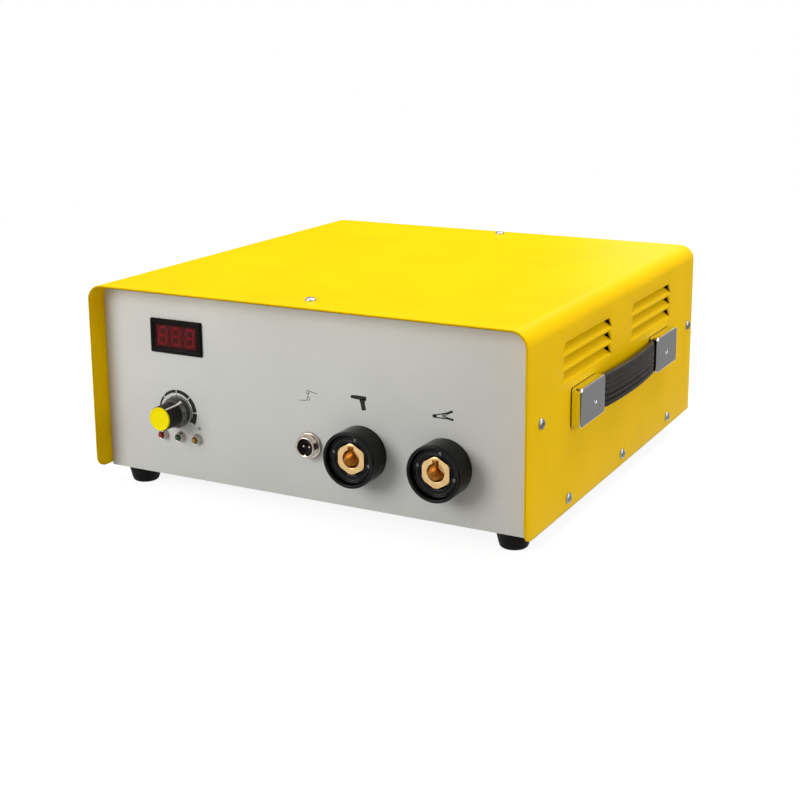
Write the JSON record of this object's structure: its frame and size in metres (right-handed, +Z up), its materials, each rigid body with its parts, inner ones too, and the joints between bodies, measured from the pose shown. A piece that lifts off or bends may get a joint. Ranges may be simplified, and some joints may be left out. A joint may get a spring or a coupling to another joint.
{
  "type": "stud_welder",
  "caption": "Capacitor-discharge stud welder power unit: yellow sheet-metal case with louvred sides, carrying strap, and a grey front panel with meter, dial, lamps and output sockets.",
  "frame": {"origin": "bottom centre of the overall box, on the floor under the feet", "axes": "+Z up, the front panel faces -Y, the handle is on the +X side"},
  "size_m": [0.3725, 0.3714, 0.1626],
  "materials": {
    "yellow_paint": "semi-gloss powder coat",
    "grey_paint": "fine textured powder coat",
    "chrome": "bright plated",
    "zinc_steel": "zinc plated",
    "dark_steel": "varnished laminations and strip",
    "black_plastic": "moulded, semi-matt",
    "black_rubber": "moulded rubber",
    "brass": "turned",
    "copper": "bare copper bar",
    "window_red": "tinted filter",
    "digit_red": "unlit display bars",
    "cap_yellow": "moulded",
    "lens_red": "clear tinted lens",
    "lens_green": "clear tinted lens",
    "lens_amber": "clear tinted lens",
    "rocker_red": "moulded",
    "winding": "taped winding",
    "sleeve_blue": "shrink sleeve",
    "aluminium": "extruded",
    "board_green": "lacquered circuit board"
  },
  "bodies": {
    "case": {"cover": "yellow_paint", "base_tray": "grey_paint", "front_panel": "grey_paint", "rear_panel": "grey_paint", "cover_screws": "zinc_steel", "feet": "black_rubber", "foot_screws": "zinc_steel", "meter_housing": "black_plastic", "meter_window": "window_red", "meter_display": "digit_red", "dial_potentiometer": "dark_steel", "dial_nut": "zinc_steel", "led_holders": "chrome", "led_red": "lens_red", "led_green": "lens_green", "led_amber": "lens_amber", "trigger_socket_shell": "chrome", "trigger_socket_insert": "black_plastic", "trigger_socket_pins": "brass", "trigger_socket_nut": "zinc_steel", "gun_socket_cup": "black_plastic", "gun_socket_brass": "brass", "gun_socket_nuts": "zinc_steel", "clamp_socket_cup": "black_plastic", "clamp_socket_brass": "brass", "clamp_socket_nuts": "zinc_steel", "socket_rivets": "zinc_steel", "handle_strap": "black_rubber", "handle_cap_front": "chrome", "handle_cap_rear": "chrome", "handle_screws": "zinc_steel", "handle_nuts": "zinc_steel", "switch_frame": "black_plastic", "mains_inlet": "black_plastic", "mains_blades": "brass", "inlet_screws": "zinc_steel", "earth_stud": "zinc_steel", "earth_nut": "zinc_steel", "fan_frame": "black_plastic", "fan_guard": "chrome", "fan_screws": "zinc_steel", "transformer_core": "dark_steel", "transformer_coil": "winding", "transformer_bracket": "dark_steel", "capacitor_tray": "black_plastic", "capacitor_cans": "sleeve_blue", "terminal_screws": "zinc_steel", "bus_bar_positive": "copper", "bus_bar_negative": "copper", "bus_bar_gun": "copper", "heat_sink": "aluminium", "thyristor": "black_plastic", "rectifier_bridge": "black_plastic", "control_board": "board_green", "board_standoffs": "brass"},
    "knob": {"knob_body": "black_plastic", "knob_cap": "cap_yellow", "dial_shaft": "zinc_steel"},
    "rocker": {"switch_rocker": "rocker_red"},
    "fan": {"fan_rotor": "black_plastic"}
  },
  "joints": [
    {"name": "knob_turn", "type": "hinge", "parent": "case", "child": "knob", "pos_m": [-0.11705, -0.17225, 0.0649], "axis": [0, 1, 0], "range_deg": [-170, 100]},
    {"name": "switch_rock", "type": "hinge", "parent": "case", "child": "rocker", "pos_m": [-0.14405, 0.16775, 0.0914], "axis": [1, 0, 0], "range_deg": [0, 20]},
    {"name": "fan_spin", "type": "hinge", "parent": "case", "child": "fan", "pos_m": [0.06595, 0.15875, 0.0874], "axis": [0, 1, 0], "continuous": true}
  ]
}
